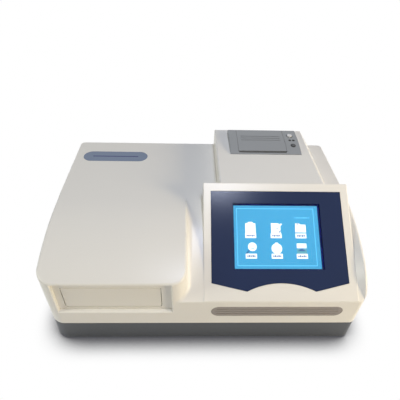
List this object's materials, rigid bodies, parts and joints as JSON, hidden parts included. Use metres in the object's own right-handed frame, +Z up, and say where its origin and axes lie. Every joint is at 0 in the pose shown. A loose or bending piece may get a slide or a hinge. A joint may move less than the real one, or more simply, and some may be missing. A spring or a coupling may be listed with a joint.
{
  "type": "microplate reader",
  "caption": "Bench microplate reader with a motor-driven plate carriage behind a front flap, a sloping touch screen and a small paper printer.",
  "frame": {"origin": "on the table, under the middle of the casing", "axes": "+X to the operator's right, +Y from the front to the back, +Z up"},
  "size_m": [0.47, 0.3159, 0.2111],
  "materials": {
    "casing_cream": "fine moulded texture",
    "base_grey": "fine moulded texture",
    "bezel_navy": "satin",
    "screen_glass": "clear touch glass",
    "display": "lit liquid-crystal panel",
    "inlay_blue": "satin",
    "strip_grey": "ribbed",
    "printer_grey": "satin",
    "key_silver": "metallic paint",
    "black_plastic": "moulded",
    "rubber": "matt",
    "steel": "ground",
    "zinc": "zinc-plated sheet",
    "aluminium": "machined",
    "brass": "sintered bronze",
    "board_green": "lacquered laminate",
    "glass": "polished",
    "paper": "thermal paper"
  },
  "bodies": {
    "casing": {"top_cover": "casing_cream", "base_tray": "base_grey", "rubber_feet": "rubber", "cover_screws": "steel", "chassis_plate": "zinc", "screen_bezel": "bezel_navy", "touch_glass": "screen_glass", "display_module": "display", "display_bracket": "zinc", "front_strip": "strip_grey", "name_badge": "inlay_blue", "guide_rods": "steel", "rail_brackets": "zinc", "drive_motor": "black_plastic", "idler_bracket": "zinc", "drive_belt": "rubber", "home_sensor": "black_plastic", "head_bridge": "zinc", "measuring_head": "aluminium", "detector_board": "board_green", "lamp_house": "aluminium", "lamp": "glass", "wheel_motor": "black_plastic", "fibre_mount": "aluminium", "fibre_bundle": "black_plastic", "main_board": "board_green", "board_parts": "black_plastic", "board_standoffs": "brass", "power_supply": "zinc", "rear_panel": "zinc", "fan_frame": "black_plastic", "mains_inlet": "black_plastic", "switch_housing": "black_plastic", "data_ports": "steel", "panel_screws": "steel", "printer_frame": "printer_grey", "printer_well": "black_plastic", "door_rod": "steel", "print_head": "aluminium", "status_lamps": "glass"},
    "carriage": {"plate_carriage": "black_plastic", "carriage_bushes": "brass", "belt_clamp": "aluminium"},
    "flap": {"plate_flap": "casing_cream", "flap_pins": "steel"},
    "drive_spindle": {"motor_shaft": "steel", "drive_pulley": "aluminium"},
    "idler": {"idler_pulley": "aluminium"},
    "wheel": {"filter_wheel": "aluminium", "optical_filters": "glass", "wheel_shaft": "steel"},
    "fan": {"fan_rotor": "black_plastic"},
    "paper_lid": {"paper_door": "printer_grey"},
    "platen": {"platen_roller": "rubber", "platen_shaft": "steel"},
    "paper": {"paper_roll": "paper", "roll_core": "black_plastic"},
    "release_key": {"release_button": "key_silver"},
    "feed_key": {"feed_button": "key_silver"},
    "rocker": {"switch_rocker": "black_plastic"}
  },
  "joints": [
    {"name": "carriage_slide", "type": "slide", "parent": "casing", "child": "carriage", "axis": [0, -1, 0], "range_m": [0, 0.245]},
    {"name": "flap_hinge", "type": "hinge", "parent": "casing", "child": "flap", "pos_m": [-0.134, -0.1498, 0.1212], "axis": [-1, 0, 0], "range_deg": [0, 100.5]},
    {"name": "drive_spin", "type": "hinge", "parent": "casing", "child": "drive_spindle", "pos_m": [-0.064, 0.132, 0.073], "axis": [1, 0, 0], "range_deg": [0, 2096.1]},
    {"name": "idler_spin", "type": "hinge", "parent": "casing", "child": "idler", "pos_m": [-0.064, -0.14, 0.073], "axis": [1, 0, 0], "range_deg": [0, 2096.1]},
    {"name": "filter_spin", "type": "hinge", "parent": "casing", "child": "wheel", "pos_m": [0.03, 0.03, 0.082], "axis": [1, 0, 0], "continuous": true},
    {"name": "fan_spin", "type": "hinge", "parent": "casing", "child": "fan", "pos_m": [0.012, 0.147, 0.094], "axis": [0, 1, 0], "continuous": true},
    {"name": "paper_lid_hinge", "type": "hinge", "parent": "casing", "child": "paper_lid", "pos_m": [0.1035, 0.143, 0.2065], "axis": [-1, 0, 0], "range_deg": [0, 75]},
    {"name": "platen_spin", "type": "hinge", "parent": "paper_lid", "child": "platen", "pos_m": [0.1035, 0.0851, 0.1973], "axis": [1, 0, 0], "continuous": true},
    {"name": "paper_spin", "type": "hinge", "parent": "casing", "child": "paper", "pos_m": [0.1035, 0.113, 0.1765], "axis": [1, 0, 0], "continuous": true},
    {"name": "release_press", "type": "slide", "parent": "casing", "child": "release_key", "axis": [0, 0, -1], "range_m": [0, 0.0015], "stiffness_N_per_m": 300, "springref_m": -0.001},
    {"name": "feed_press", "type": "slide", "parent": "casing", "child": "feed_key", "axis": [0, 0, -1], "range_m": [0, 0.001], "stiffness_N_per_m": 300, "springref_m": -0.001},
    {"name": "power_rock", "type": "hinge", "parent": "casing", "child": "rocker", "pos_m": [0.18, 0.1535, 0.114], "axis": [0, 0, 1], "range_deg": [0, 16]}
  ],
  "couplings": [
    {"joint": "flap_hinge", "follows": "carriage_slide", "rad_per_m": 7.1238},
    {"joint": "drive_spin", "follows": "carriage_slide", "rad_per_m": 149.25},
    {"joint": "idler_spin", "follows": "carriage_slide", "rad_per_m": 149.25}
  ]
}
